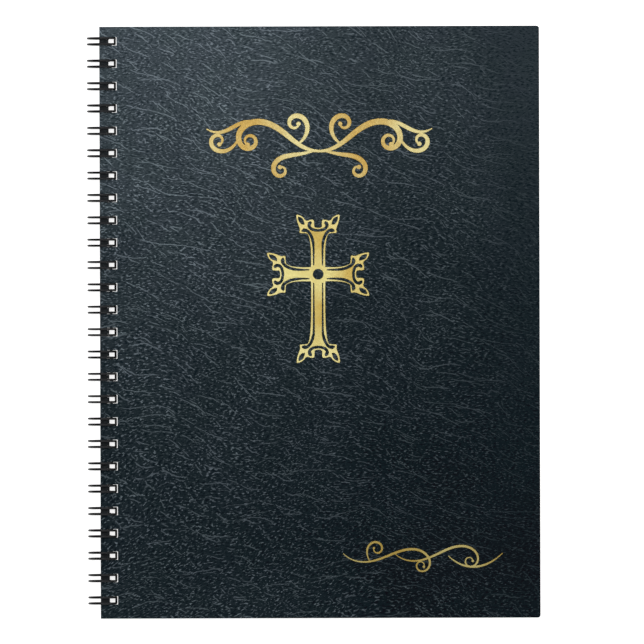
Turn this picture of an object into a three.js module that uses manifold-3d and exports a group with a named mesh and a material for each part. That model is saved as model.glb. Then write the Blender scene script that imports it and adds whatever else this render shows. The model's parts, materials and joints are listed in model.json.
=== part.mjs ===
// A wire-bound book with a leather-look cover and gold ornaments, lying closed on its back cover.
// Millimetres. +X runs from the spine to the fore-edge, +Y up the page, +Z out of the front cover.
// The origin is the middle of the book's bounding box, on the surface that the book lies on.
import * as THREE from "three";
import { mergeVertices } from "three/addons/utils/BufferGeometryUtils.js";
import Module from "manifold-3d";

const wasm = await Module();
wasm.setup();

// Covers: a printed leatherette skin outside, a board, and a lining inside.
const COVER_WIDTH = 165.1;
const COVER_HEIGHT = 222.25;
const COVER_CORNER = 1.0; // radius of the two corners at the fore-edge
const SKIN = 0.16;
const BOARD = 0.36;
const LINING = 0.06;

// Leaves, made as sections of a few leaves that turn together.
const SECTIONS = 10;
const LEAVES_IN_SECTION = 4;
const LEAF = 0.1;
const LEAF_SETBACK = 0.8; // the leaves stop this far short of the covers' three free edges
const AIR = 0.02; // between one layer and the next

// Punched holes, one for each double loop of the wire.
const LOOPS = 26;
const PITCH = 8.4;
const ROW_SHIFT = 0.7; // the row of loops sits this far above the middle of the page
const HOLE_NEAR = 2.6; // from the sheets' spine edge to the hole's near side
const HOLE_FAR = 6.5;
const HOLE_HEIGHT = 3.5;

// The wire: one length, bent into a double loop for each hole. It lies on a cylinder.
const WIRE = 0.8;
const WIRE_SIDES = 5;
const PAIR_GAP = 2.25; // between the two wires of a loop, centre to centre
const RING_RADIUS = 5.1; // to the wire's centre line
const RING_INSET = 0.7; // the cylinder's axis lies this far inside the sheets' spine edge
const HINGE_GAP = 0.1; // the sheets turn about a line this far outside their spine edge
const RING_STEP = THREE.MathUtils.degToRad(30);
const ROOT_ANGLE = THREE.MathUtils.degToRad(-42); // where one loop runs on to the next
const RING_START = THREE.MathUtils.degToRad(-60); // where the root's bend meets the ring
const RING_END = THREE.MathUtils.degToRad(-368); // where the loop's closed end begins to bend
const RING_STEPS = 10;
const BEND_STEPS = 2; // in each quarter turn of a bend

// Gold foil ornaments on the front cover. Places are from the cover's middle.
const FOIL = 0.05;
const CROSS = new THREE.Vector2(-0.6, 18);
const CROSS_REACHES = [19.2, 22.4, 19.2, 33.3]; // right, up, left and down
const CROSS_STEM = 5.3; // the arms' width where they meet
const CROSS_SPREAD = 16.6; // across the two tips of an arm
const CENTRE_HOLE = 2.0;
// The leaf at an arm's end, by how far back from the arm's reach and how far in from its spread each
// corner lies: from the step where it leaves the arm's flare, up to the tip, and down into the notch.
const LEAF_OUTLINE = [[5.9, 1.4], [3.3, 1.6], [0.6, 0], [0, 0.6], [1.4, 3.3], [1.6, 5.9], [4.0, 6.2]];
const FLARE_INSET = 2.8; // the flare ends this far in from the spread
const FLARE_BEND = 0.5; // its curve's control point lies this far back from its end
const HEAD_SCROLL = new THREE.Vector2(0, 67);
const FOOT_SCROLL = new THREE.Vector2(38.5, -88.5);
const STROKE_STEPS = 14;
const FLARE_STEPS = 5;

const coverThickness = SKIN + BOARD + LINING + 2 * AIR;
const sectionThickness = LEAVES_IN_SECTION * LEAF;
const bookThickness = 2 * coverThickness + SECTIONS * sectionThickness + (SECTIONS + 1) * AIR;

const leatherette = new THREE.MeshStandardMaterial({ color: 0x222c36, roughness: 0.5 });
const whiteCard = new THREE.MeshStandardMaterial({ color: 0xe4e1da, roughness: 0.9 });
const liningPaper = new THREE.MeshStandardMaterial({ color: 0xe9e4d8, roughness: 0.85 });
const paper = new THREE.MeshStandardMaterial({ color: 0xf6f3ea, roughness: 0.85 });
const blackWire = new THREE.MeshStandardMaterial({ color: 0x0b0b0c, roughness: 0.35, metalness: 0.3 });
const goldFoil = new THREE.MeshStandardMaterial({ color: 0xdcb75a, roughness: 0.3, metalness: 0.9 });

const loopHeights = Array.from(
  { length: LOOPS },
  (_, i) => ROW_SHIFT + (i - (LOOPS - 1) / 2) * PITCH,
);

// A flat sheet with the row of punched holes. Its spine edge is HINGE_GAP from the hinge line, x = 0.
function punchedSheet(name, material, width, height, corner, thickness, z) {
  const left = HINGE_GAP;
  const right = HINGE_GAP + width;
  const outline = new THREE.Shape().moveTo(left, -height / 2);
  if (corner > 0) {
    outline.lineTo(right - corner, -height / 2);
    outline.absarc(right - corner, -height / 2 + corner, corner, -Math.PI / 2, 0);
    outline.absarc(right - corner, height / 2 - corner, corner, 0, Math.PI / 2);
  } else {
    outline.lineTo(right, -height / 2).lineTo(right, height / 2);
  }
  outline.lineTo(left, height / 2);
  for (const y of loopHeights) {
    const low = y - HOLE_HEIGHT / 2;
    const high = y + HOLE_HEIGHT / 2;
    const hole = new THREE.Path().moveTo(left + HOLE_NEAR, low).lineTo(left + HOLE_NEAR, high);
    hole.lineTo(left + HOLE_FAR, high).lineTo(left + HOLE_FAR, low);
    outline.holes.push(hole);
  }
  const settings = { depth: thickness, bevelEnabled: false, curveSegments: 3 };
  const sheet = new THREE.Mesh(new THREE.ExtrudeGeometry(outline, settings), material);
  sheet.name = name;
  sheet.position.z = z;
  return sheet;
}

// A cover's three layers, listed from the bottom up, the first one's underside at z.
function cover(layers, z) {
  const group = new THREE.Group();
  for (const [name, material, thickness] of layers) {
    group.add(punchedSheet(name, material, COVER_WIDTH, COVER_HEIGHT, COVER_CORNER, thickness, z));
    z += thickness + AIR;
  }
  return group;
}

function leafSections(z) {
  const group = new THREE.Group();
  const width = COVER_WIDTH - LEAF_SETBACK;
  const height = COVER_HEIGHT - 2 * LEAF_SETBACK;
  for (let i = 1; i <= SECTIONS; i++) {
    const name = "leaf_section_" + String(i).padStart(2, "0");
    group.add(punchedSheet(name, paper, width, height, 0, sectionThickness, z));
    z += sectionThickness + AIR;
  }
  return group;
}

// A line on a cylinder about the Y axis, through a track of [angle, y] points. A section swept
// along it stays square to the cylinder.
class CylinderLine extends THREE.Curve {
  constructor(track, radius) {
    super();
    this.outward = track.map(([angle]) => new THREE.Vector3(Math.cos(angle), 0, Math.sin(angle)));
    this.points = track.map(([, y], i) =>
      this.outward[i].clone().multiplyScalar(radius).setY(y),
    );
  }
  getPoint(t, target = new THREE.Vector3()) {
    const place = t * (this.points.length - 1);
    const before = Math.min(Math.floor(place), this.points.length - 2);
    return target.lerpVectors(this.points[before], this.points[before + 1], place - before);
  }
  getPointAt(t, target) {
    return this.getPoint(t, target);
  }
  computeFrenetFrames() {
    const last = this.points.length - 1;
    const tangents = this.points.map((_, i) => {
      const ahead = this.points[Math.min(i + 1, last)].clone();
      const along = ahead.sub(this.points[Math.max(i - 1, 0)]);
      return along.projectOnPlane(this.outward[i]).normalize();
    });
    const binormals = tangents.map((tangent, i) => tangent.clone().cross(this.outward[i]));
    return { tangents, normals: this.outward, binormals };
  }
}

// The wire's whole track: from a root it runs round the ring to the loop's closed end, back
// round beside itself, and along the next root.
function wireTrack() {
  const track = [];
  const tipReach = PAIR_GAP / 2 / RING_RADIUS;
  const rootReach = ROOT_ANGLE - RING_START;
  const rootBend = rootReach * RING_RADIUS;
  loopHeights.forEach((y, loop) => {
    const near = y - PAIR_GAP / 2;
    const far = y + PAIR_GAP / 2;
    for (let i = 0; i <= RING_STEPS; i++) track.push([RING_START - i * RING_STEP, near]);
    for (let i = 0; i <= 2 * BEND_STEPS; i++) {
      const turn = (i / BEND_STEPS) * (Math.PI / 2);
      track.push([RING_END - tipReach * Math.sin(turn), y - (PAIR_GAP / 2) * Math.cos(turn)]);
    }
    for (let i = RING_STEPS; i >= 0; i--) track.push([RING_START - i * RING_STEP, far]);
    if (loop === LOOPS - 1) return;
    const next = far + PITCH - PAIR_GAP;
    for (let i = 1; i <= BEND_STEPS; i++) {
      const turn = (i / BEND_STEPS) * (Math.PI / 2);
      const angle = RING_START + rootReach * Math.sin(turn);
      track.push([angle, far + rootBend * (1 - Math.cos(turn))]);
    }
    for (let i = BEND_STEPS; i >= 1; i--) {
      const turn = (i / BEND_STEPS) * (Math.PI / 2);
      const angle = RING_START + rootReach * Math.sin(turn);
      track.push([angle, next - rootBend * (1 - Math.cos(turn))]);
    }
  });
  return track;
}

// A chord of the ring dips inside the circle, so the track's radius is a little over the wire's.
const trackRadius = (RING_RADIUS * 2) / (1 + Math.cos(RING_STEP / 2));
const ringOuterRadius = trackRadius + WIRE / 2;

function bindingWire() {
  const section = new THREE.Shape();
  for (let i = 0; i < WIRE_SIDES; i++) {
    const angle = (i / WIRE_SIDES) * 2 * Math.PI;
    const point = [(WIRE / 2) * Math.cos(angle), (WIRE / 2) * Math.sin(angle)];
    if (i === 0) section.moveTo(...point);
    else section.lineTo(...point);
  }
  const track = wireTrack();
  const extrudePath = new CylinderLine(track, trackRadius);
  const settings = { steps: track.length - 1, extrudePath, bevelEnabled: false };
  const wire = new THREE.Mesh(new THREE.ExtrudeGeometry(section, settings), blackWire);
  wire.name = "binding_wire";
  return wire;
}

// One half of a cross's arm, from the crossing's corner out to the middle of its forked end.
// The arm lies along +X. Its end is a notch with a leaf on each side, each leaf ending in a point.
function halfArm(reach, halfWidth, halfSpread) {
  const flareEnd = reach - LEAF_OUTLINE[0][0];
  const flare = new THREE.QuadraticBezierCurve(
    new THREE.Vector2(halfWidth, halfWidth),
    new THREE.Vector2(flareEnd - FLARE_BEND, halfWidth),
    new THREE.Vector2(flareEnd, halfSpread - FLARE_INSET),
  );
  const leaf = LEAF_OUTLINE.map(([back, inset]) => new THREE.Vector2(reach - back, halfSpread - inset));
  return [...flare.getPoints(FLARE_STEPS), ...leaf];
}

function crossShape() {
  const outline = [];
  CROSS_REACHES.forEach((reach, quarter) => {
    const turn = (quarter * Math.PI) / 2;
    const upper = halfArm(reach, CROSS_STEM / 2, CROSS_SPREAD / 2);
    const lower = upper.map((p) => new THREE.Vector2(p.x, -p.y));
    const arm = [...lower, ...upper.reverse()];
    arm.pop(); // the crossing's corner belongs to the next arm
    for (const p of arm) outline.push(p.rotateAround(new THREE.Vector2(), turn));
  });
  const shape = new THREE.Shape(outline);
  shape.holes.push(new THREE.Path().absarc(0, 0, CENTRE_HOLE, 0, 2 * Math.PI, true));
  return shape;
}

// A pen stroke's middle line: it sets off from start and curls as it goes. bends are its curvatures,
// in degrees per millimetre, at even steps along it, and the curvature changes steadily between them.
function strokeLine({ start, heading, length, bends }) {
  const step = length / STROKE_STEPS;
  const place = new THREE.Vector2(...start);
  let direction = THREE.MathUtils.degToRad(heading);
  const line = [{ place: place.clone(), direction }];
  for (let i = 0; i < STROKE_STEPS; i++) {
    const along = ((i + 0.5) / STROKE_STEPS) * (bends.length - 1);
    const before = Math.floor(along);
    const bend = THREE.MathUtils.lerp(bends[before], bends[before + 1], along - before);
    const turn = THREE.MathUtils.degToRad(bend) * step;
    place.x += step * Math.cos(direction + turn / 2);
    place.y += step * Math.sin(direction + turn / 2);
    direction += turn;
    line.push({ place: place.clone(), direction });
  }
  return line;
}

// The stroke's outline: thin at its ends and widest in between. side is -1 for its mirror image.
function strokeShape(stroke, side = 1) {
  const left = [];
  const right = [];
  strokeLine(stroke).forEach(({ place, direction }, i) => {
    const t = i / STROKE_STEPS;
    const taper = THREE.MathUtils.lerp(stroke.ends[0], stroke.ends[1], t);
    const half = (taper + stroke.width * Math.sin(Math.PI * t)) / 2;
    const across = new THREE.Vector2(-Math.sin(direction), Math.cos(direction));
    left.push(place.clone().addScaledVector(across, half));
    right.push(place.clone().addScaledVector(across, -half));
  });
  const outline = [...right, ...left.reverse()];
  for (const point of outline) point.x *= side;
  return new THREE.Shape(outline);
}

// The right half of the scrollwork near the head of the cover; the left half mirrors it.
const headScroll = [
  {
    start: [-1.5, -2.6],
    heading: -10,
    length: 57,
    bends: [6, 3.5, -1, -4.5, -8, -14, -24, -34],
    width: 1.5,
    ends: [0.9, 0.8],
  },
  {
    start: [23.5, 8.5],
    heading: 4,
    length: 20,
    bends: [-2, -6, 1, 9, 5],
    width: 1.0,
    ends: [0.7, 0.4],
  },
  {
    start: [30.4, 2],
    heading: -66,
    length: 23,
    bends: [5, 9, 15, 26, 38],
    width: 1.0,
    ends: [0.7, 0.7],
  },
  {
    start: [2, -2.7],
    heading: -14,
    length: 28,
    bends: [0, 2, -5, -15, -27, -42],
    width: 1.2,
    ends: [0.7, 0.7],
  },
  {
    start: [8.2, -0.2],
    heading: 146,
    length: 24,
    bends: [-5, -9, -14, -24, -40],
    width: 1.2,
    ends: [0.7, 0.7],
  },
];

// The finer scroll near the foot.
const footScroll = [
  {
    start: [-30, 1.6],
    heading: -46,
    length: 50,
    bends: [6, 4.6, 1, -3.6, -10, -23, -48],
    width: 0.8,
    ends: [0.35, 0.5],
  },
  {
    start: [-11, 2],
    heading: -50,
    length: 48,
    bends: [7, 5, 1.5, -3.4, -10, -23, -48],
    width: 0.8,
    ends: [0.35, 0.5],
  },
  {
    start: [9.5, 0.6],
    heading: -44,
    length: 23,
    bends: [3, 5, 4, 2],
    width: 0.7,
    ends: [0.4, 0.35],
  },
  {
    start: [-19.9, -1.5],
    heading: 120,
    length: 18.5,
    bends: [-4, -16, -26, -46],
    width: 0.7,
    ends: [0.4, 0.5],
  },
];

// The solid of an outline, FOIL thick, as manifold-3d keeps it.
function foilSolid(shape) {
  const made = new THREE.ExtrudeGeometry(shape, { depth: FOIL, bevelEnabled: false, curveSegments: 12 });
  made.deleteAttribute("normal");
  made.deleteAttribute("uv");
  const merged = mergeVertices(made, 1e-4);
  return new wasm.Manifold(
    new wasm.Mesh({
      numProp: 3,
      vertProperties: merged.getAttribute("position").array,
      triVerts: new Uint32Array(merged.index.array),
    }),
  );
}

// Shapes that cross each other, joined into one piece of foil.
function foilPiece(name, shapes, place) {
  const joined = shapes.map(foilSolid).reduce((whole, solid) => whole.add(solid));
  const { vertProperties, triVerts } = joined.getMesh();
  const geometry = new THREE.BufferGeometry();
  geometry.setAttribute("position", new THREE.BufferAttribute(new Float32Array(vertProperties), 3));
  geometry.setIndex(new THREE.BufferAttribute(new Uint32Array(triVerts), 1));
  geometry.computeVertexNormals();
  const foil = new THREE.Mesh(geometry, goldFoil);
  foil.name = name;
  foil.position.set(HINGE_GAP + COVER_WIDTH / 2 + place.x, place.y, bookThickness / 2 + AIR);
  return foil;
}

// The closed book about its hinge line, which runs through the middle of its thickness.
function closedBook() {
  const bottom = -bookThickness / 2;
  const backLayers = [
    ["back_cover_leatherette", leatherette, SKIN],
    ["back_cover_board", whiteCard, BOARD],
    ["back_cover_lining", liningPaper, LINING],
  ];
  const frontLayers = [
    ["front_cover_lining", liningPaper, LINING],
    ["front_cover_board", whiteCard, BOARD],
    ["front_cover_leatherette", leatherette, SKIN],
  ];
  const headStrokes = headScroll.flatMap((stroke) => [strokeShape(stroke), strokeShape(stroke, -1)]);
  const footStrokes = footScroll.map((stroke) => strokeShape(stroke));
  const book = new THREE.Group();
  book.add(
    cover(backLayers, bottom),
    leafSections(bottom + coverThickness + AIR),
    cover(frontLayers, -bottom - coverThickness),
    foilPiece("cross_foil", [crossShape()], CROSS),
    foilPiece("head_scroll_foil", headStrokes, HEAD_SCROLL),
    foilPiece("foot_scroll_foil", footStrokes, FOOT_SCROLL),
  );
  return book;
}

// The wire rings lift the spine, so the closed book slopes down to its fore-edge. The slope
// brings the back cover's fore-edge corner to the height of the rings' lowest point.
const foreEdge = HINGE_GAP + COVER_WIDTH;
const cornerDistance = Math.hypot(foreEdge, bookThickness / 2);
const slope = Math.asin(ringOuterRadius / cornerDistance) - Math.atan2(bookThickness / 2, foreEdge);

const ringAxisX = HINGE_GAP + RING_INSET; // from the hinge line
const leftExtent = ringAxisX - ringOuterRadius;
const rightExtent = foreEdge * Math.cos(slope) + (bookThickness / 2) * Math.sin(slope);
const hingeX = -(leftExtent + rightExtent) / 2;
const hingeZ = ringOuterRadius;

const sheets = closedBook();
sheets.position.set(hingeX, 0, hingeZ);
sheets.rotation.y = slope;

const wire = bindingWire();
wire.position.set(hingeX + ringAxisX, 0, hingeZ);

const group = new THREE.Group();
group.add(sheets, wire);

export default group;
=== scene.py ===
"""Looks of a wire-bound book with a leather-look cover: grained skins, gold foil ornaments, single
leaves and a round black wire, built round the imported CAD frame. Lengths here are millimetres in the
closed book's own frame: x from the hinge line to the fore-edge, y up the page, z out of the front
cover from the middle of the book's thickness. to_row turns them into the row frame, in metres."""

import json
import math

import bmesh
import bpy
import numpy as np
from mathutils import Matrix, Vector
from mathutils.geometry import delaunay_2d_cdt


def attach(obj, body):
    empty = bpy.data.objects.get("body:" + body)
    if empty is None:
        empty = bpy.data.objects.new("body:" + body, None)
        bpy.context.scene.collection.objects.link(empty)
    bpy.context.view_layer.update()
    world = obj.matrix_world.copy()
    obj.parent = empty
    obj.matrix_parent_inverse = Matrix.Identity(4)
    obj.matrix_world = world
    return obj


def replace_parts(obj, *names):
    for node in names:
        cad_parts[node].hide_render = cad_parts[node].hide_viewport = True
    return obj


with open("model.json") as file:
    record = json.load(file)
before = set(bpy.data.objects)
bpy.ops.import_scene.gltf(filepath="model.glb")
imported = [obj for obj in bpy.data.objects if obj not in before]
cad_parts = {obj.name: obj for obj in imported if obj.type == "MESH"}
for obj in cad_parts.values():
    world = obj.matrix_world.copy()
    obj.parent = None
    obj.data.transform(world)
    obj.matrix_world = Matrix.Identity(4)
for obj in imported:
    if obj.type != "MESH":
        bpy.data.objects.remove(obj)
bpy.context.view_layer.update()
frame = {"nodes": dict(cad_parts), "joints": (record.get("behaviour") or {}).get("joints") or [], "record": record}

# ---------------------------------------------------------------- driving dimensions, in mm

MM = 0.001
COVER_WIDTH = 165.1
LOOPS = 26
PITCH = 8.4
ROW_SHIFT = 0.7
HINGE_GAP = 0.1
HOLE_NEAR = 2.6
HOLE_FAR = 6.5
HOLE_HEIGHT = 3.5
SKIN_HOLE_HEIGHT = 3.2
TAB_REACH = 0.75  # how far a skin reaches into each of its holes, between the two wires
TAB_HALF = 0.68
COVER_CORNER = 1.0

WIRE = 0.8
PAIR_GAP = 2.25
RING_RADIUS = 5.1
RING_INSET = 0.7
ROOT_ANGLE = math.radians(-42)
RING_START = math.radians(-60)
RING_END = math.radians(-356)
RING_STEPS = 52
BEND_STEPS = 8
WIRE_SIDES = 12
LOOP_LEAN = 0.09  # how far a loop's closed end may stand off to one side

SECTIONS = 10
LEAVES_IN_SECTION = 4
LEAF_GAP = 0.012
LEAF_SLIP = 0.12  # how unevenly the leaves lie, at the foot
LEAF_TRIM = 0.15  # and at the head and fore-edge
RULE_PITCH = 7.1
RULE_THICKNESS = 0.03  # as a share of the pitch
RULED_X = (-70.0, 83.0)
RULED_Y = (-103.0, 92.0)

SKIN_STEP = 0.7  # the grid of the grained surface
LATTICE = 96  # the noise in the surface repeats after so many cells
PILLOW_HEIGHT, CREASE_DEPTH, SWELL_HEIGHT, RELIEF_DROP = 0.03, 0.04, 0.02, 0.03
FOIL_HEIGHT = 0.07
FOIL_BEVEL = 0.09
FOIL_FOOT = 0.45  # the height of the bevel's foot, as a share of the foil's
FOIL_SUNK = 0.03  # how far below the skin's highest point the foil starts

CROSS = (-0.6, 18)  # places from the cover's middle
HEAD_SCROLL_PLACE = (0, 67)
FOOT_SCROLL_PLACE = (38.5, -88.5)
CENTRE_HOLE = 2.0
CROSS_REACH = (19.2, 22.4, 19.2, 33.3)  # right, up, left and down

LEATHER_TONE = -3.955  # the natural logarithm of the print's green at the foot of the spine, before the painted light fall is added
PRINT_X = (-80, 85)  # where the print's shares across and up run from 0 to 1
PRINT_Y = (-111, 111)
# the creases: spacing, angle, half width, shift, how rare, and the length of a strand
CREASES = [
    (3.7, 28, 0.2, 31, 0.63, 12.0),
    (5.3, 50, 0.2, 140, 0.61, 12.0),
    (5.9, 12, 0.22, 77, 0.53, 28.0),
    (6.3, 24, 0.22, 205, 0.49, 38.0),
    (8.3, 36, 0.22, 260, 0.48, 32.0),
]

FRONT_SEED, BACK_SEED, WIRE_SEED, LEAF_SEED = 11, 31, 5, 3

VIEW_WIDTH = 241.8  # what the camera sees across, at the cover
CAMERA_DISTANCE = 5000
CAMERA_SIDE, CAMERA_UP = 0.8, 0.06  # from the cover's middle
CAMERA_YAW = math.radians(1.2)
CAMERA_ROLL = math.radians(-0.16)

WORLD_STRENGTH = 0.375
FLOOR_GLOW = 0.78
FLOOR_SIZE, FLOOR_DROP = 8, 0.00005  # in metres
KEY_LIGHT = ((-0.2, 0.5, 2.4), 0.9, 27)  # place and size in metres, and watts
FILL_LIGHT = ((1.2, -0.8, 1.8), 1.2, 5.2)

loop_heights = [ROW_SHIFT + (i - (LOOPS - 1) / 2) * PITCH for i in range(LOOPS)]

# ---------------------------------------------------------------- the book's own frame

hinge = Vector(frame["joints"][0]["pos_m"])
face_normal = frame["record"]["mounts"][0]["axis"]  # of the back cover's outside, facing down
slope = math.atan2(-face_normal[0], -face_normal[2])
to_row = Matrix.Translation(hinge) @ Matrix.Rotation(slope, 4, "Y") @ Matrix.Scale(MM, 4)
to_book = to_row.inverted()
spine_x = (to_row @ Vector((HINGE_GAP, 0, 0))).x / MM
cover_middle = to_row @ Vector((HINGE_GAP + COVER_WIDTH / 2, 0, 0)) / MM


def book_box(node):
    """A CAD node's lowest and highest corner in the book's own frame."""
    corners = np.array([to_book @ v.co for v in frame["nodes"][node].data.vertices])
    return corners.min(0), corners.max(0)


def add_piece(name, verts, faces, material, smooth=False):
    """A mesh piece from points in the book's own frame."""
    mesh = bpy.data.meshes.new(name)
    mesh.from_pydata([tuple(v) for v in verts], [], faces)
    mesh.transform(to_row)
    mesh.materials.append(material)
    if smooth:
        mesh.shade_smooth()
    else:
        mesh.shade_flat()
    piece = bpy.data.objects.new(name, mesh)
    bpy.context.scene.collection.objects.link(piece)
    return piece


# ---------------------------------------------------------------- material helpers


class Nodes:
    """A material's node tree, with short ways to add nodes and read places in millimetres."""

    def __init__(self, name):
        self.material = bpy.data.materials.new(name)
        self.material.use_nodes = True
        self.tree = self.material.node_tree
        self.shader = self.tree.nodes["Principled BSDF"]
        place = self.tree.nodes.new("ShaderNodeTexCoord").outputs["Object"]
        self.place = self.vector("SCALE", place, scale=1 / MM)

    def new(self, kind, inputs=None, **settings):
        node = self.tree.nodes.new(kind)
        for key, value in settings.items():
            setattr(node, key, value)
        for key, value in (inputs or {}).items():
            self.feed(node.inputs[key], value)
        return node

    def feed(self, socket, value):
        if isinstance(value, bpy.types.NodeSocket):
            self.tree.links.new(value, socket)
        else:
            socket.default_value = value

    def set(self, **values):
        """Sets or links the main shader's sockets, with _ for a space in their names."""
        for key, value in values.items():
            self.feed(self.shader.inputs[key.replace("_", " ")], value)

    def math(self, operation, a, b=0.0, clamp=False):
        node = self.new("ShaderNodeMath", operation=operation, use_clamp=clamp)
        self.feed(node.inputs[0], a)
        self.feed(node.inputs[1], b)
        return node.outputs[0]

    def vector(self, operation, a, b=(0, 0, 0), scale=1.0):
        node = self.new("ShaderNodeVectorMath", operation=operation)
        self.feed(node.inputs[0], a)
        self.feed(node.inputs[1], b)
        node.inputs[3].default_value = scale
        return node.outputs[0]

    def ramp(self, value, low, high, to_low=0.0, to_high=1.0, smooth=True):
        """value between low and high, spread over to_low to to_high."""
        kind = "SMOOTHSTEP" if smooth else "LINEAR"
        inputs = {"Value": value, "From Min": low, "From Max": high,
                  "To Min": to_low, "To Max": to_high}
        return self.new("ShaderNodeMapRange", inputs, interpolation_type=kind).outputs["Result"]

    def mix(self, factor, a, b, blend="MIX"):
        node = self.new("ShaderNodeMix", data_type="RGBA", blend_type=blend)
        for socket, value in ((node.inputs[0], factor), (node.inputs[6], a), (node.inputs[7], b)):
            self.feed(socket, value)
        return node.outputs[2]

    def noise(self, place, scale, detail=2.0, rough=0.5, distort=0.0):
        inputs = {"Vector": place, "Scale": scale, "Detail": detail, "Roughness": rough,
                  "Distortion": distort}
        return self.new("ShaderNodeTexNoise", inputs)

    def warp(self, place, scale, amount, detail=1.0):
        """place moved about by a smooth noise, by up to about half of amount."""
        colour = self.noise(place, scale, detail).outputs["Color"]
        push = self.vector("SUBTRACT", colour, (0.5, 0.5, 0.5))
        return self.vector("ADD", place, self.vector("SCALE", push, scale=amount))

    def stretched(self, place, angle, size_x, size_y):
        """place turned by angle, in cells of size_x by size_y millimetres."""
        inputs = {"Vector": place, "Rotation": (0, 0, angle), "Scale": (1 / size_x, 1 / size_y, 0)}
        return self.new("ShaderNodeMapping", inputs).outputs[0]

    def bump(self, height, strength, distance):
        inputs = {"Height": height, "Strength": strength, "Distance": distance * MM}
        return self.new("ShaderNodeBump", inputs).outputs[0]


def rgb(red, green, blue):
    """A linear colour from sRGB values of 0 to 255."""
    def linear(value):
        value /= 255
        return value / 12.92 if value <= 0.04045 else ((value + 0.055) / 1.055) ** 2.4
    return (linear(red), linear(green), linear(blue), 1.0)


# ---------------------------------------------------------------- materials


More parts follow.
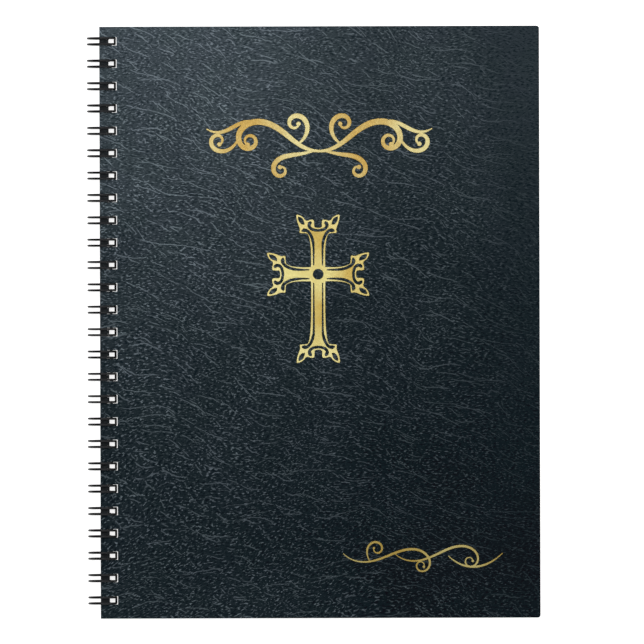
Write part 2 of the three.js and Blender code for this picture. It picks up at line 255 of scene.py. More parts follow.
def leather_material():
    """Printed leatherette, whose print carries painted light: short pale flecks and long wandering creases,
    drawn as painted highlights, with painted shade on the pebbles' dark sides and a painted shadow between
    each pair of wires, on a tone whose fall from slate at the head and spine to near black at the foot and
    fore-edge is painted light."""
    n = Nodes("leatherette_print")
    x, y, _ = n.new("ShaderNodeSeparateXYZ", {0: n.place}).outputs
    across = n.ramp(x, *PRINT_X, smooth=False)
    up = n.ramp(y, *PRINT_Y, smooth=False)
    cloud = n.ramp(n.noise(n.place, 0.035, 2).outputs["Fac"], 0.3, 0.7, -0.12, 0.12, smooth=False)
    # painted light: the tone falls from slate at the head and spine, where the light is, to near black at the foot
    # and fore-edge, with a dip low on the cover
    slope_x = n.math("ADD", n.math("MULTIPLY", across, -0.16), n.ramp(across, 0.28, 0.74, 0, -0.48))
    slope_y = n.math("ADD", n.math("MULTIPLY", up, 1.42), n.ramp(up, 0.7, 1.0, 0.06, -0.04))
    dip = n.math("MULTIPLY", n.ramp(up, 0.0, 0.12), n.ramp(up, 0.95, 0.4, 0, -0.31))
    tone = n.math("ADD", n.math("ADD", slope_x, slope_y), n.math("ADD", cloud, LEATHER_TONE))
    painted_light_fall = n.math("EXPONENT", n.math("ADD", tone, dip))
    tint = n.ramp(n.noise(n.place, 0.09, 1).outputs["Fac"], 0.35, 0.65)
    hue = n.mix(tint, (0.8, 1.0, 1.13, 1), (0.82, 1.0, 1.17, 1))

    # the grain runs down to the right, and turns level towards the foot at the spine
    run = n.math("MULTIPLY", n.ramp(x, -85, 25, -65, 45, smooth=False),
                 n.ramp(up, 0.42, 0.08, 0, -0.33, smooth=False))
    laid = n.vector("ADD", n.place, n.new("ShaderNodeCombineXYZ", {"Y": run}).outputs[0])

    # flecks: the lit sides of small pebbles, in rows that drift over the hide
    drift = n.warp(n.warp(laid, 0.03, 10), 0.5, 0.9)
    speck = n.noise(n.stretched(drift, math.radians(17), 1.2, 0.55), 1.0, 1.0, 0.5).outputs["Fac"]
    grit = n.noise(n.stretched(drift, math.radians(35), 2.6, 1.1), 1.0, 1).outputs["Fac"]
    patchy = n.ramp(n.noise(n.place, 0.16, 2).outputs["Fac"], 0.35, 0.62, 0.5, 0.95)
    threshold = n.ramp(up, 0, 0.8, 0.58, 0.56)
    flecks = n.math("MULTIPLY", n.ramp(speck, threshold, 0.67), patchy)
    flecks = n.math("MULTIPLY", flecks, n.ramp(grit, 0.3, 0.6, 0.45, 1.15))
    # painted shade on the pebbles' dark sides
    pebble_shade = n.ramp(speck, 0.46, 0.34)

    # creases: wandering lines in several directions, mostly down to the right, broken into strands; drawn pale as
    # painted highlights, and sunk a little in the bump
    def creases(spacing, angle, width, shift, keep, length):
        wavy = n.warp(n.warp(n.warp(laid, 0.032, 17), 0.13, 2.6), 0.6, 0.8, 2)
        turned = n.stretched(n.vector("ADD", wavy, (shift, shift, 0)), math.radians(angle), 1, 1)
        across_lines = n.new("ShaderNodeSeparateXYZ", {0: turned}).outputs[1]
        phase = n.math("FRACT", n.math("MULTIPLY", across_lines, 1 / spacing))
        off = n.math("MULTIPLY", n.math("ABSOLUTE", n.math("SUBTRACT", phase, 0.5)), spacing)
        moved = n.vector("ADD", laid, (shift, 0, 0))
        gate = n.noise(n.stretched(moved, math.radians(angle), length, 3), 1.0, 1).outputs["Fac"]
        return n.math("MULTIPLY", n.ramp(off, width, 0.05), n.ramp(gate, keep, keep + 0.07))

    strands = 0.0
    for family in CREASES:
        strands = n.math("MAXIMUM", strands, creases(*family))
    strands = n.math("MULTIPLY", strands, n.ramp(up, 0, 1, 0.5, 1.0, smooth=False))

    # the grain, with its painted highlights, is finer and fainter towards the fore-edge
    sheen_zone = n.math("MULTIPLY", n.ramp(across, 0.76, 0.97), n.ramp(up, 0, 1, 0.4, 0.85, smooth=False))
    kept = n.math("SUBTRACT", 1.0, sheen_zone)
    painted_highlights = n.math("MULTIPLY", n.math("MAXIMUM", flecks, strands), kept, clamp=True)

    # painted shadow: the strip between each pair of wires, which the loops shade, is darkened
    from_row = n.math("ADD", y, PITCH * LOOPS / 2 - ROW_SHIFT)
    phase = n.math("FRACT", n.math("MULTIPLY", from_row, 1 / PITCH))
    from_loop = n.math("MULTIPLY", n.math("ABSOLUTE", n.math("SUBTRACT", phase, 0.5)), PITCH)
    strip_end = spine_x + HOLE_NEAR + TAB_REACH
    wire_pair_shadow = n.math("MULTIPLY", n.ramp(from_loop, PAIR_GAP / 2 + 0.25, PAIR_GAP / 2 - 0.1),
                    n.ramp(x, strip_end + 0.7, strip_end + 0.1))

    # the base is the print's hue under the painted light fall
    base = n.mix(1.0, hue, painted_light_fall, "MULTIPLY")
    # the painted highlights stand further above the base towards the foot, where the painted light fall is dimmer
    fleck_gain = n.ramp(up, 0, 1, 8.4, 3.1, smooth=False)
    pale = n.mix(1.0, n.mix(1.0, base, (1.03, 1.0, 0.98, 1), "MULTIPLY"), fleck_gain, "MULTIPLY")
    shaded_base = n.mix(n.math("MULTIPLY", pebble_shade, 0.55), base, (0.0, 0.0014, 0.0027, 1))
    grained = n.mix(painted_highlights, shaded_base, pale)
    teal = n.mix(1.0, grained, (0.01, 0.006, 0.004, 1), "SUBTRACT")
    n.set(Base_Color=n.mix(n.math("MULTIPLY", wire_pair_shadow, 0.9), teal, (0.011, 0.0125, 0.014, 1)))
    n.set(Roughness=n.ramp(speck, 0.3, 0.7, 0.7, 0.58, smooth=False))
    n.set(Specular_IOR_Level=0.08)
    height = n.math("SUBTRACT", n.ramp(speck, 0.3, 0.7), n.math("MULTIPLY", strands, 0.6))
    n.set(Normal=n.bump(height, 0.5, 0.1))
    return n.material


def gold_material(name, pale, deep, swing):
    """Hot-stamped foil, whose tone swings between pale and deep gold over a fine hammered grain.
    swing makes the share of deep gold from the node tree and the place's x and y in mm."""
    n = Nodes(name)
    x, y, _ = n.new("ShaderNodeSeparateXYZ", {0: n.place}).outputs
    grain = n.noise(n.place, 1.6, 3, 0.6).outputs["Fac"]
    cloud = n.ramp(n.noise(n.place, 0.2, 2).outputs["Fac"], 0.35, 0.65, -0.18, 0.18, smooth=False)
    tone = n.math("ADD", swing(n, x, y), cloud, clamp=True)
    n.set(Base_Color=n.mix(tone, pale, deep), Metallic=0.3, Specular_IOR_Level=0.27)
    n.set(Roughness=n.ramp(grain, 0.3, 0.7, 0.3, 0.44, smooth=False))
    n.set(Normal=n.bump(grain, 0.15, 0.04))
    return n.material


def wave(n, value, period, peak):
    """0 to 1 and back over each period of value, with 1 at peak."""
    turns = n.math("MULTIPLY", n.math("SUBTRACT", value, peak), 2 * math.pi / period)
    return n.ramp(n.math("COSINE", turns), -1, 1, smooth=False)


def wire_material():
    """Black nylon-coated steel, with the coat's slight orange peel, and a painted sheen: a lighter grey on
    the top of the ring, where it crosses the cover."""
    n = Nodes("black_coated_wire")
    peel = n.noise(n.place, 1.4, 3, 0.6).outputs["Fac"]
    coat = n.mix(peel, (0.0011, 0.0011, 0.0013, 1), (0.004, 0.004, 0.0045, 1))
    x, _, z = n.new("ShaderNodeSeparateXYZ", {0: n.place}).outputs
    # painted sheen: lighter on the top of the ring, above the spine, where it crosses the cover
    sheen_zone = n.math("MULTIPLY", n.ramp(x, spine_x - 0.2, spine_x + 0.6), n.ramp(z, 8.0, 9.0))
    n.set(Base_Color=n.mix(sheen_zone, coat, (0.023, 0.024, 0.026, 1)))
    n.set(Roughness=n.ramp(peel, 0.3, 0.7, 0.3, 0.44, smooth=False))
    n.set(Specular_IOR_Level=0.13, Normal=n.bump(peel, 0.2, 0.05))
    return n.material


def paper_material(name, colour, fibre, ruled):
    """Uncoated paper with short fibres; ruled lines across it, where it is writing paper."""
    n = Nodes(name)
    cells = n.new("ShaderNodeMapping", {"Vector": n.place, "Scale": (0.5, 2.2, 1)}).outputs[0]
    fibres = n.noise(n.warp(cells, 0.8, 1.2), 1.1, 4, 0.7).outputs["Fac"]
    mottle = n.noise(n.place, 0.05, 3).outputs["Fac"]
    tone = n.mix(n.ramp(fibres, 0.35, 0.75), colour, fibre)
    tone = n.mix(n.ramp(mottle, 0.4, 0.7, 0, 0.35), tone, fibre)
    if ruled:
        x, y, _ = n.new("ShaderNodeSeparateXYZ", {0: n.place}).outputs
        phase = n.math("FRACT", n.math("MULTIPLY", n.math("ADD", y, 500.0), 1 / RULE_PITCH))
        line = n.math("LESS_THAN", phase, RULE_THICKNESS)
        for place, (low, high) in ((y, RULED_Y), (x, RULED_X)):
            line = n.math("MULTIPLY", line, n.math("GREATER_THAN", place, low))
            line = n.math("MULTIPLY", line, n.math("LESS_THAN", place, high))
        tone = n.mix(line, tone, rgb(168, 178, 186))
    n.set(Base_Color=tone, Specular_IOR_Level=0.25)
    n.set(Roughness=n.ramp(fibres, 0.3, 0.7, 0.78, 0.92, smooth=False))
    n.set(Normal=n.bump(fibres, 0.15, 0.03))
    return n.material


PALE_GOLD, DEEP_GOLD, RIM_GOLD = rgb(189, 178, 111), rgb(166, 140, 60), rgb(193, 183, 121)


def cross_swing(n, x, y):
    """Deep gold half-way up and down the stem, and towards the right arm's end."""
    stem = wave(n, y, 28, CROSS[1] + 12.5)
    arm = n.ramp(x, cover_middle.x + 2, cover_middle.x + 13)
    return n.math("MAXIMUM", stem, arm)


def scroll_swing(n, x, y):
    """Deep gold in two broad bands across the head scroll."""
    slanted = n.math("ADD", x, n.math("MULTIPLY", y, 0.35))
    return wave(n, slanted, 44, cover_middle.x + 41)


leather = leather_material()
cross_gold = gold_material("gold_foil_cross", PALE_GOLD, DEEP_GOLD, cross_swing)
rim_gold = gold_material("gold_foil_rim", RIM_GOLD, rgb(180, 162, 92), cross_swing)
head_gold = gold_material("gold_foil_head", rgb(182, 171, 116), rgb(160, 129, 54), scroll_swing)
foot_gold = gold_material("gold_foil_foot", rgb(157, 145, 87), rgb(142, 118, 42), scroll_swing)
wire_black = wire_material()
leaf_paper = paper_material("leaf_paper", rgb(252, 250, 243), rgb(246, 243, 233), ruled=True)
lining_paper = paper_material("lining_paper", rgb(248, 245, 238), rgb(236, 232, 221), ruled=False)
white_card = paper_material("white_card", rgb(236, 234, 229), rgb(214, 211, 204), ruled=False)

# ---------------------------------------------------------------- sheets with punched holes


def grid_lines(low, high, stops, step):
    """Places from low to high no further apart than step, with one at each stop."""
    ends = [low, *[s for s in stops if low < s < high], high]
    lines = [low]
    for a, b in zip(ends, ends[1:]):
        lines.extend(np.linspace(a, b, max(1, math.ceil((b - a) / step)) + 1)[1:])
    return np.array(lines)


def in_hole(x, y, height, tab):
    """Which places lie in a punched hole of that height, with a tab of that reach on its near
    edge."""
    from_loop = abs(np.asarray(y)[..., None] - loop_heights).min(-1)
    near = HINGE_GAP + HOLE_NEAR + np.where(from_loop < TAB_HALF, tab, 0)
    return (from_loop < height / 2) & (x > near) & (x < HINGE_GAP + HOLE_FAR)


def punched_sheet(name, low, high, material, step=1000.0, corner=0.0, relief=None, outward=1,
                  tab=0.0):
    """A closed sheet between two corners, with the row of square holes. A tab of that reach makes
    it a skin, whose holes are less high. relief(x, y) is added to the height of its outer face,
    which is the upper one where outward is 1 and the lower one at -1."""
    near = HINGE_GAP + HOLE_NEAR
    height = SKIN_HOLE_HEIGHT if tab else HOLE_HEIGHT
    halves = (height / 2, TAB_HALF) if tab else (height / 2,)
    holes_x = sorted({near, near + tab, HINGE_GAP + HOLE_FAR})
    holes_y = [y + side * half for y in loop_heights for side in (-1, 1) for half in halves]
    xs = grid_lines(low[0], high[0], [*holes_x, high[0] - corner], step)
    ys = grid_lines(low[1], high[1], sorted([*holes_y, low[1] + corner, high[1] - corner]), step)
    middle_x = (xs[1:] + xs[:-1]) / 2
    middle_y = (ys[1:] + ys[:-1]) / 2
    solid = ~in_hole(middle_x[:, None], middle_y[None, :], height, tab)

    gx, gy = np.meshgrid(xs, ys, indexing="ij")
    if corner:  # each fore-edge corner's square of the grid is bent into a quarter disc
        u = np.clip((gx - (high[0] - corner)) / corner, 0, 1)
        v_mid, v_half = (low[1] + high[1]) / 2, (high[1] - low[1]) / 2 - corner
        v = np.clip((abs(gy - v_mid) - v_half) / corner, 0, 1)
        gx = np.where(u > 0, high[0] - corner + corner * u * np.sqrt(1 - v * v / 2), gx)
        bent = v_half + corner * v * np.sqrt(1 - u * u / 2)
        gy = np.where(v > 0, v_mid + np.sign(gy - v_mid) * bent, gy)
    outer_z, inner_z = (high[2], low[2]) if outward > 0 else (low[2], high[2])
    lift = relief(gx, gy) if relief else 0.0
    outer = np.stack([gx, gy, outer_z + outward * lift + 0 * gx], -1).reshape(-1, 3)
    inner = np.stack([gx, gy, inner_z + 0 * gx], -1).reshape(-1, 3)
    index = np.arange(gx.size).reshape(gx.shape)

    cells = (index[:-1, :-1], index[1:, :-1], index[1:, 1:], index[:-1, 1:])
    face = np.stack([corners[solid] for corners in cells], -1)
    # the walls stand where a solid cell meets an empty one
    padded = np.pad(solid, 1)
    below, above = padded[1:-1, :-1], padded[1:-1, 1:]
    left, right = padded[:-1, 1:-1], padded[1:, 1:-1]
    edges = (
        (index[:-1, :], index[1:, :], above & ~below, 1),
        (index[:-1, :], index[1:, :], ~above & below, -1),
        (index[:, :-1], index[:, 1:], right & ~left, -1),
        (index[:, :-1], index[:, 1:], ~right & left, 1),
    )
    rim = np.concatenate([np.stack([a[keep], b[keep]], -1)[:, ::turn]
                          for a, b, keep, turn in edges])
    size = gx.size
    wall = np.stack([rim[:, 1], rim[:, 0], rim[:, 0] + size, rim[:, 1] + size], -1)
    # the inner face is flat, so it needs only the points of the rim
    rim_points = np.unique(rim)
    number = {int(p): k for k, p in enumerate(rim_points)}
    flat = [Vector(inner[p][:2]) for p in rim_points]
    links = [(number[int(a)], number[int(b)]) for a, b in rim]
    points, _, triangles, origins, *_ = delaunay_2d_cdt(flat, links, [], 1, 1e-7)
    centres = np.array(points)[np.array(triangles)].mean(1)
    back = []
    for triangle, hole in zip(triangles, in_hole(centres[:, 0], centres[:, 1], height, tab)):
        if not hole:
            back.append([int(rim_points[origins[k][0]]) + size for k in reversed(triangle)])
    faces = [*face.tolist(), *wall.tolist(), *back]
    if outward < 0:
        faces = [f[::-1] for f in faces]
    used = np.unique(np.concatenate([np.ravel(f) for f in (face, wall)]))
    order = np.full(2 * size, -1)
    order[used] = np.arange(len(used))
    verts = np.concatenate([outer, inner])[used]
    return add_piece(name, verts, [[int(order[k]) for k in f] for f in faces], material)


# ---------------------------------------------------------------- grain in the skins' surface


def lattice_noise(x, y, cell, seed):
    """Smooth noise from 0 to 1 on a square lattice."""
    values = np.random.default_rng(seed).random((LATTICE, LATTICE))
    fx, fy = x / cell, y / cell
    ix, iy = np.floor(fx).astype(int), np.floor(fy).astype(int)
    u, v = fx - ix, fy - iy
    u, v = u * u * (3 - 2 * u), v * v * (3 - 2 * v)

    def corner(dx, dy):
        return values[(ix + dx) % LATTICE, (iy + dy) % LATTICE]

    low = corner(0, 0) * (1 - u) + corner(1, 0) * u
    high = corner(0, 1) * (1 - u) + corner(1, 1) * u
    return low * (1 - v) + high * v


def cell_distances(x, y, size_x, size_y, seed):
    """Distances from each place to its nearest and second nearest cell centre, in cells."""
    draws = np.random.default_rng(seed).random((2, LATTICE, LATTICE))
    fx, fy = x / size_x, y / size_y
    ix, iy = np.floor(fx).astype(int), np.floor(fy).astype(int)
    found = []
    for dx in (-1, 0, 1):
        for dy in (-1, 0, 1):
            jx, jy = (ix + dx) % LATTICE, (iy + dy) % LATTICE
            px, py = ix + dx + draws[0, jx, jy], iy + dy + draws[1, jx, jy]
            found.append(np.hypot(px - fx, py - fy))
    found = np.sort(np.stack(found), axis=0)
    return found[0], found[1]


def leather_relief(seed):
    """The skin's height over its nominal face: low pillows parted by creases, in mm."""
    def relief(x, y):
        shift_x = 9 * (lattice_noise(x, y, 21, seed) - 0.5)
        shift_y = 9 * (lattice_noise(x, y, 21, seed + 1) - 0.5)
        bent_x, bent_y = x + shift_x + 0.25 * y, y + shift_y + 0.2 * x
        first, second = cell_distances(bent_x, bent_y, 3.4, 2.1, seed + 2)
        pillows = np.clip(second - first, 0, 0.6) / 0.6
        first, second = cell_distances(bent_x, bent_y, 26, 10, seed + 3)
        creases = np.exp(-(((second - first) / 0.035) ** 2))
        swell = lattice_noise(x, y, 13, seed + 4)
        return (PILLOW_HEIGHT * pillows - CREASE_DEPTH * creases + SWELL_HEIGHT * swell
                - RELIEF_DROP)
    return relief


# ---------------------------------------------------------------- the wire


def wire_track():
    """The wire's whole run as (angle round the ring, y): round to each loop's closed end, back
    beside itself, and along the root to the next loop."""
    tip_reach = PAIR_GAP / 2 / RING_RADIUS
    root_reach = ROOT_ANGLE - RING_START
    root_bend = root_reach * RING_RADIUS
    track = []
    draw = np.random.default_rng(WIRE_SEED)
    for loop, y in enumerate(loop_heights):
        lean = draw.uniform(-LOOP_LEAN, LOOP_LEAN)
        ring = np.linspace(RING_START, RING_END, RING_STEPS)
        drift = lean * np.linspace(0, 1, RING_STEPS) ** 2
        track += [(a, y - PAIR_GAP / 2 + d) for a, d in zip(ring, drift)]
        for i in range(1, 2 * BEND_STEPS):
            turn = i / BEND_STEPS * math.pi / 2
            closed_end = y + lean - PAIR_GAP / 2 * math.cos(turn)
            track.append((RING_END - tip_reach * math.sin(turn), closed_end))
        track += [(a, y + PAIR_GAP / 2 + d) for a, d in zip(ring, drift)][::-1]
        if loop == LOOPS - 1:
            break
        start, end = y + PAIR_GAP / 2, y + PITCH - PAIR_GAP / 2
        turns = [i / BEND_STEPS * math.pi / 2 for i in range(1, BEND_STEPS + 1)]
        bend = [(RING_START + root_reach * math.sin(t), root_bend * (1 - math.cos(t)))
                for t in turns]
        track += [(a, start + off) for a, off in bend]
        track += [(a, end - off) for a, off in bend[::-1]]
    return track


def wire_piece():
    """A round tube along the track, closed by a dome at each end. The ring stands upright, so its
    points are placed round the hinge in the row frame and then taken into the book's own."""
    track = np.array(wire_track())
    outward = np.stack([np.cos(track[:, 0]), np.zeros(len(track)), np.sin(track[:, 0])], 1)
    line = outward * RING_RADIUS
    line[:, 1] = track[:, 1]
    line[:, 0] += HINGE_GAP + RING_INSET
    tangent = np.gradient(line, axis=0)
    tangent -= (tangent * outward).sum(1)[:, None] * outward
    tangent /= np.linalg.norm(tangent, axis=1)[:, None]
    across = np.cross(tangent, outward)
    rings = [(point, n, b, 1.0) for point, n, b in zip(line, outward, across)]
    dome = [(math.sin(a), math.cos(a)) for a in np.linspace(0, math.pi / 2, 5)[1:-1]]
    first = [(line[0] - tangent[0] * s * WIRE / 2, outward[0], across[0], c) for s, c in dome][::-1]
    last = [(line[-1] + tangent[-1] * s * WIRE / 2, outward[-1], across[-1], c) for s, c in dome]
    verts = []
    for point, n, b, share in [*first, *rings, *last]:
        for i in range(WIRE_SIDES):
            a = 2 * math.pi * i / WIRE_SIDES
            verts.append(point + share * WIRE / 2 * (math.cos(a) * n + math.sin(a) * b))
    last_ring = len(verts) - WIRE_SIDES
    faces = []
    for k in range(0, last_ring, WIRE_SIDES):
        for i in range(WIRE_SIDES):
            j = (i + 1) % WIRE_SIDES
            faces.append([k + i, k + j, k + WIRE_SIDES + j, k + WIRE_SIDES + i])
    verts += [line[0] - tangent[0] * WIRE / 2, line[-1] + tangent[-1] * WIRE / 2]
    start, end = len(verts) - 2, len(verts) - 1
    for i in range(WIRE_SIDES):
        j = (i + 1) % WIRE_SIDES
        faces.append([start, j, i])
        faces.append([end, last_ring + i, last_ring + j])
    upright = Matrix.Rotation(-slope, 4, "Y")
    verts = [upright @ Vector(v) for v in verts]
    return add_piece("wire_loops", verts, faces, wire_black, smooth=True)


# ---------------------------------------------------------------- foil ornaments


def inside(places, loop):
    """Which of the 2-D places lie in a loop of points."""
    x, y = places[:, :1], places[:, 1:]
    px, py = loop[:, 0], loop[:, 1]
    qx, qy = np.roll(px, -1), np.roll(py, -1)
    spans = (py > y) != (qy > y)
    rise = np.where(qy == py, 1.0, qy - py)
    at = px + (y - py) / rise * (qx - px)
    return np.count_nonzero(spans & (x < at), axis=1) % 2 == 1


def foil_piece(name, outlines, holes, place, base, material, rim=None, in_rim=None):
    """Foil over the union of the outlines less the holes, raised with a bevelled edge. place is its
    middle from the cover's middle, and base the height that it stands on. Its faces take the rim's
    material wherever in_rim says that their middle is in a rim."""
    points, links = [], []
    for loop in [*outlines, *holes]:
        start = len(points)
        points += [Vector((float(x), float(y))) for x, y in loop]
        links += [(start + k, start + (k + 1) % len(loop)) for k in range(len(loop))]
    made_points, _, triangles, *_ = delaunay_2d_cdt(points, links, [], 0, 1e-5)
    centres = np.array(made_points)[np.array(triangles)].mean(1)
    covered = np.any([inside(centres, loop) for loop in outlines], axis=0)
    for loop in holes:
        covered &= ~inside(centres, loop)

    bm = bmesh.new()
    corners = [bm.verts.new((p.x, p.y, 0)) for p in made_points]
    for triangle, keep in zip(triangles, covered):
        if keep:
            bm.faces.new([corners[k] for k in triangle])
    for vert in [v for v in bm.verts if not v.link_faces]:
        bm.verts.remove(vert)
    bmesh.ops.recalc_face_normals(bm, faces=bm.faces)
    if sum(f.normal.z for f in bm.faces) < 0:
        bmesh.ops.reverse_faces(bm, faces=bm.faces)
    bmesh.ops.inset_region(bm, faces=bm.faces, thickness=FOIL_BEVEL, use_boundary=True,
                           use_even_offset=False)
    for vert in bm.verts:
        vert.co.z = FOIL_HEIGHT * (FOIL_FOOT if vert.is_boundary else 1.0)
    verts = np.array([v.co for v in bm.verts])
    bm.verts.index_update()
    top = [[v.index for v in f.verts] for f in bm.faces]
    outer_loops = [e.link_loops[0] for e in bm.edges if e.is_boundary]
    border = [(loop.vert.index, loop.link_loop_next.vert.index) for loop in outer_loops]
    bm.free()

    count = len(verts)
    shift = np.array([(skin_low[0] + skin_high[0]) / 2 + place[0], place[1], base])
    faces = [*top, *[[k + count for k in f[::-1]] for f in top]]
    faces += [[b, a, a + count, b + count] for a, b in border]
    piece = add_piece(name, np.concatenate([verts, verts * (1, 1, 0)]) + shift, faces, material)
    if rim:
        piece.data.materials.append(rim)
        middles = np.array([np.mean([verts[k % count] for k in f], axis=0) for f in faces])
        in_the_rim = in_rim(middles[:, 0], middles[:, 1]).astype(np.int32)
        piece.data.polygons.foreach_set("material_index", in_the_rim)
    return piece


def smooth_line(points, steps=5):
    """A Catmull-Rom curve through the points."""
    p = np.array([points[0], *points, points[-1]], float)
    line = []
    for k in range(1, len(p) - 2):
        for t in np.linspace(0, 1, steps, endpoint=False):
            a, b, c, d = p[k - 1 : k + 3]
            line.append(0.5 * (2 * b + (c - a) * t + (2 * a - 5 * b + 4 * c - d) * t * t
                               + (3 * b - a - 3 * c + d) * t ** 3))
    line.append(p[-2])
    return np.array(line)


def ribbon(line, widths):
    """The outline of a stroke along a line."""
    along = np.gradient(line, axis=0)
    along /= np.linalg.norm(along, axis=1)[:, None]
    across = np.stack([-along[:, 1], along[:, 0]], 1) * np.asarray(widths)[:, None] / 2
    return np.concatenate([line - across, (line + across)[::-1]])


# The end of a cross's arm, by (distance back from its reach, half width): along the lobe's foot, up
# its side and the leaf's to the tip, back to the shelf, and down into the notch between the leaves.
ARM_END = [
    [(7.2, 4.0), (7.0, 5.2), (6.95, 6.75)],
    [(6.95, 6.75), (6.5, 7.0), (5.8, 6.85), (5.1, 6.9)],
    [(5.1, 6.9), (3.3, 7.6), (1.5, 8.05), (0.3, 8.15)],
    [(0.3, 8.15), (0.02, 7.9), (0.08, 7.3)],
    [(0.08, 7.3), (0.5, 6.3), (1.2, 5.4), (2.0, 4.8), (2.3, 4.1)],
    [(2.3, 4.1), (1.95, 2.9), (1.9, 1.85)],
    [(1.9, 1.85), (2.4, 1.5), (3.4, 1.42), (4.4, 1.38), (4.85, 0.9), (4.95, 0.0)],
]
LEAF_EYE = [
    [(0.75, 7.4), (0.95, 6.7), (1.7, 5.7), (3.7, 5.0)],
    [(3.7, 5.0), (3.7, 5.95), (2.9, 6.9), (1.7, 7.4), (0.75, 7.4)],
]
STEM_HALF = 2.72
EDGE_LINE = 1.68  # how far the bare line beside an arm's edge runs from its middle


def arm_outline(reach):
    """Half an arm's outline, from the crossing's corner to the middle of its end."""
    start, corner, end = np.array([[STEM_HALF, STEM_HALF], [reach - 9.2, STEM_HALF - 0.4],
                                   [reach - 7.2, 4.0]])
    flare = [(1 - t) ** 2 * start + 2 * t * (1 - t) * corner + t * t * end
             for t in np.linspace(0, 1, 14)]
    parts = [np.array(flare)[:-1]]
    for bend in ARM_END:
        parts.append(smooth_line([(reach - back, half) for back, half in bend], 4)[:-1])
    return np.concatenate([*parts, [[reach - ARM_END[-1][-1][0], 0.0]]])


def edge_line(reach):
    """The middle of the bare line beside an arm's edge, which ends in the lobe under the leaf."""
    return smooth_line([(3.3, EDGE_LINE), (reach - 13.0, EDGE_LINE), (reach - 10.0, 1.95),
                        (reach - 7.9, 2.65), (reach - 6.35, 3.75), (reach - 5.9, 4.9),
                        (reach - 6.15, 6.2)], 6)


def arm_slits(reach):
    """The bare shapes within half an arm: the line beside its edge, and the eye of the leaf."""
    line = edge_line(reach)
    along = np.linspace(0, 1, len(line))
    widths = np.interp(along, (0, 0.3, 0.7, 0.88, 1), (0.35, 1.0, 1.1, 1.45, 0.3))
    eye = [smooth_line([(reach - back, half) for back, half in bend], 5)[:-1] for bend in LEAF_EYE]
    return [ribbon(line, widths), np.concatenate(eye)]


def end_smile(reach):
    """The bare line inside an arm's end, which swells where it curls up beside the notch."""
    half = [(3.1, 2.4), (3.15, 2.95), (3.7, 3.3), (4.5, 3.25), (5.3, 2.6), (5.75, 1.5), (5.95, 0.0)]
    points = [(reach - back, off) for back, off in half]
    line = smooth_line([*points, *[(u, -v) for u, v in points[-2::-1]]], 5)
    from_middle = abs(np.linspace(-1, 1, len(line)))
    return ribbon(line, np.interp(from_middle, (0, 0.5, 0.75, 0.9, 1), (0.95, 1.1, 1.3, 1.1, 0.6)))


def in_cross_rim(x, y):
    """Which places in the cross lie outside the bare lines beside its arms' edges."""
    sideways = abs(x) > abs(y)
    along, off = np.where(sideways, abs(x), abs(y)), np.where(sideways, abs(y), abs(x))
    reach = np.where(sideways, CROSS_REACH[0], np.where(y > 0, CROSS_REACH[1], CROSS_REACH[3]))
    limit = np.zeros_like(off)
    for length in set(CROSS_REACH):
        line = edge_line(length)
        line = line[: line[:, 0].argmax() + 1]
        limit = np.where(reach == length, np.interp(along, line[:, 0], line[:, 1]), limit)
    return (along > STEM_HALF + 0.5) & ((off > limit) | (along > reach - 5.6))


def turned(loop, quarter):
    """A loop turned by so many quarters to the left."""
    c, s = [(1, 0), (0, 1), (-1, 0), (0, -1)][quarter]
    loop = np.asarray(loop)
    return np.stack([loop[:, 0] * c - loop[:, 1] * s, loop[:, 0] * s + loop[:, 1] * c], 1)


def circle(x, y, radius, steps=28):
    a = np.linspace(0, 2 * math.pi, steps, endpoint=False)
    return np.stack([x + radius * np.cos(a), y + radius * np.sin(a)], 1)


def cross_loops():
    """The cross's outline as one loop, and the loops of its bare lines and eyes."""
    outline, holes = [], [circle(0, 0, CENTRE_HOLE)]
    for quarter, reach in enumerate(CROSS_REACH):
        upper = arm_outline(reach)
        lower = upper * [1, -1]
        outline.append(turned(np.concatenate([lower, upper[-2:0:-1]]), quarter))
        for loop in arm_slits(reach):
            holes += [turned(loop, quarter), turned(loop * [1, -1], quarter)]
        holes.append(turned(end_smile(reach), quarter))
    return [np.concatenate(outline)], holes


def stroke_loops(stroke, side=1):
    """A pen stroke's outlines: a ribbon that curls as its bends say, in degrees per millimetre at
    even steps along it, and the ball at its end."""
    steps = 72
    step = stroke["length"] / steps
    place, direction = np.array(stroke["start"], float), math.radians(stroke["heading"])
    bends = stroke["bends"]
    line = [place.copy()]
    for i in range(steps):
        bend = np.interp((i + 0.5) / steps * (len(bends) - 1), range(len(bends)), bends)
        turn = math.radians(bend) * step
        place += step * np.array([math.cos(direction + turn / 2), math.sin(direction + turn / 2)])
        direction += turn
        line.append(place.copy())
    t = np.linspace(0, 1, steps + 1)
    first, last = stroke["ends"]
    widths = first + (last - first) * t + stroke["width"] * np.sin(np.pi * t)
    loops = [ribbon(np.array(line), widths)]
    if "ball" in stroke:
        loops.append(circle(*place, stroke["ball"], 20))
    return [loop * [side, 1] for loop in loops]


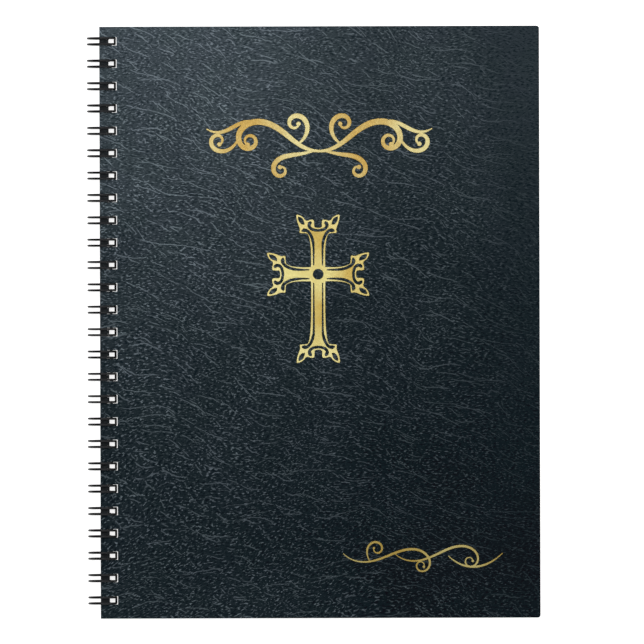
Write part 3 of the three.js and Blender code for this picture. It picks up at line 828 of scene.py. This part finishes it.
HEAD_SCROLL = [
    dict(start=(-1.5, -2.6), heading=-10, length=57, bends=(6, 3.5, -1, -4.5, -8, -14, -24, -34),
         width=1.5, ends=(0.9, 0.8), ball=0.95),
    dict(start=(23.5, 8.5), heading=4, length=20, bends=(-2, -6, 1, 9, 5),
         width=1.0, ends=(0.7, 0.4)),
    dict(start=(30.4, 2), heading=-66, length=23, bends=(5, 9, 15, 26, 38),
         width=1.0, ends=(0.7, 0.7), ball=0.85),
    dict(start=(2, -2.7), heading=-14, length=28, bends=(0, 2, -5, -15, -27, -42),
         width=1.2, ends=(0.7, 0.7), ball=0.85),
    dict(start=(8.2, -0.2), heading=146, length=24, bends=(-5, -9, -14, -24, -40),
         width=1.2, ends=(0.7, 0.7), ball=0.85),
]
FOOT_SCROLL = [
    dict(start=(-30, 1.6), heading=-46, length=50, bends=(6, 4.6, 1, -3.6, -10, -23, -48),
         width=0.6, ends=(0.3, 0.4), ball=0.5),
    dict(start=(-11, 2), heading=-50, length=48, bends=(7, 5, 1.5, -3.4, -10, -23, -48),
         width=0.6, ends=(0.3, 0.4), ball=0.5),
    dict(start=(9.5, 0.6), heading=-44, length=23, bends=(3, 5, 4, 2), width=0.5, ends=(0.35, 0.3)),
    dict(start=(-19.9, -1.5), heading=120, length=18.5, bends=(-4, -16, -26, -46),
         width=0.5, ends=(0.35, 0.4), ball=0.45),
]

# ---------------------------------------------------------------- making the pieces

skin_low, skin_high = book_box("front_cover_leatherette")
front_skin = punched_sheet("front_cover_skin", skin_low, skin_high, leather, SKIN_STEP,
                           COVER_CORNER, leather_relief(FRONT_SEED), tab=TAB_REACH)
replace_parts(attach(front_skin, "front_cover"), "front_cover_leatherette")

back_low, back_high = book_box("back_cover_leatherette")
back_skin = punched_sheet("back_cover_skin", back_low, back_high, leather, SKIN_STEP,
                          COVER_CORNER, leather_relief(BACK_SEED), outward=-1, tab=TAB_REACH)
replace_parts(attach(back_skin, "back_cover"), "back_cover_leatherette")

wire = wire_piece()
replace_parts(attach(wire, "wire"), "binding_wire")

foil_base = skin_high[2] - FOIL_SUNK
head_outlines = [loop for s in HEAD_SCROLL for side in (1, -1) for loop in stroke_loops(s, side)]
foot_outlines = [loop for s in FOOT_SCROLL for loop in stroke_loops(s)]
ornaments = {
    "cross_foil": (*cross_loops(), CROSS, foil_base, cross_gold, rim_gold, in_cross_rim),
    "head_scroll_foil": (head_outlines, [], HEAD_SCROLL_PLACE, foil_base, head_gold),
    "foot_scroll_foil": (foot_outlines, [], FOOT_SCROLL_PLACE, foil_base, foot_gold),
}
for node, design in ornaments.items():
    stamp = foil_piece(node.replace("_foil", "_stamp"), *design)
    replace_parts(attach(stamp, "front_cover"), node)

draw = np.random.default_rng(LEAF_SEED)
for section in range(1, SECTIONS + 1):
    node = f"leaf_section_{section:02d}"
    low, high = book_box(node)
    thickness = (high[2] - low[2]) / LEAVES_IN_SECTION
    for leaf in range(LEAVES_IN_SECTION):
        leaf_low, leaf_high = low.copy(), high.copy()
        leaf_low[1] += draw.uniform(0, LEAF_SLIP)
        leaf_high[:2] -= draw.uniform(0, LEAF_TRIM, 2)
        leaf_low[2] = low[2] + leaf * thickness
        leaf_high[2] = leaf_low[2] + thickness - LEAF_GAP
        name = f"leaf_{section:02d}_{'abcd'[leaf]}"
        sheet = punched_sheet(name, leaf_low, leaf_high, leaf_paper)
        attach(sheet, f"leaves_{section:02d}")
        if leaf == 0:
            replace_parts(sheet, node)

for node, material in (("front_cover_board", white_card), ("back_cover_board", white_card),
                       ("front_cover_lining", lining_paper), ("back_cover_lining", lining_paper)):
    mesh = frame["nodes"][node].data
    mesh.materials.clear()
    mesh.materials.append(material)

# ---------------------------------------------------------------- floor, lights and camera


def add_floor():
    bpy.ops.mesh.primitive_plane_add(size=FLOOR_SIZE, location=(0, 0, -FLOOR_DROP))
    floor = bpy.context.object
    floor.name = "floor"
    n = Nodes("floor_white")
    speck = n.noise(n.place, 0.02, 2).outputs["Fac"]
    n.set(Base_Color=n.mix(speck, (0.72, 0.72, 0.72, 1), (0.7, 0.7, 0.705, 1)), Roughness=0.8)
    n.set(Specular_IOR_Level=0.1, Emission_Color=(1, 1, 1, 1), Emission_Strength=FLOOR_GLOW)
    floor.data.materials.append(n.material)


def add_light(name, place, size, power):
    lamp = bpy.data.lights.new(name, "AREA")
    lamp.shape, lamp.size, lamp.energy = "DISK", size, power
    light = bpy.data.objects.new(name, lamp)
    light.location = place
    light.rotation_euler = (-Vector(place)).to_track_quat("-Z", "Y").to_euler()
    bpy.context.scene.collection.objects.link(light)


def add_world():
    world = bpy.data.worlds.new("studio")
    world.use_nodes = True
    background = world.node_tree.nodes["Background"]
    background.inputs["Color"].default_value = (1, 1, 1, 1)
    background.inputs["Strength"].default_value = WORLD_STRENGTH
    bpy.context.scene.world = world


def add_camera():
    camera = bpy.data.cameras.new("camera")
    camera.sensor_width = 36
    camera.lens = camera.sensor_width * CAMERA_DISTANCE / VIEW_WIDTH
    seen = bpy.data.objects.new("camera", camera)
    across = (skin_low[0] + skin_high[0]) / 2 + CAMERA_SIDE
    middle = to_row @ Vector((across, CAMERA_UP, skin_high[2]))
    turn = Matrix.Rotation(CAMERA_YAW, 4, "Y") @ Matrix.Rotation(CAMERA_ROLL, 4, "Z")
    back = Matrix.Translation((0, 0, CAMERA_DISTANCE * MM))
    seen.matrix_world = Matrix.Translation(middle) @ turn @ back
    bpy.context.scene.collection.objects.link(seen)
    bpy.context.scene.camera = seen


add_floor()
add_world()
add_light("key", *KEY_LIGHT)
add_light("fill", *FILL_LIGHT)
add_camera()
bpy.context.scene.view_settings.view_transform = "Standard"
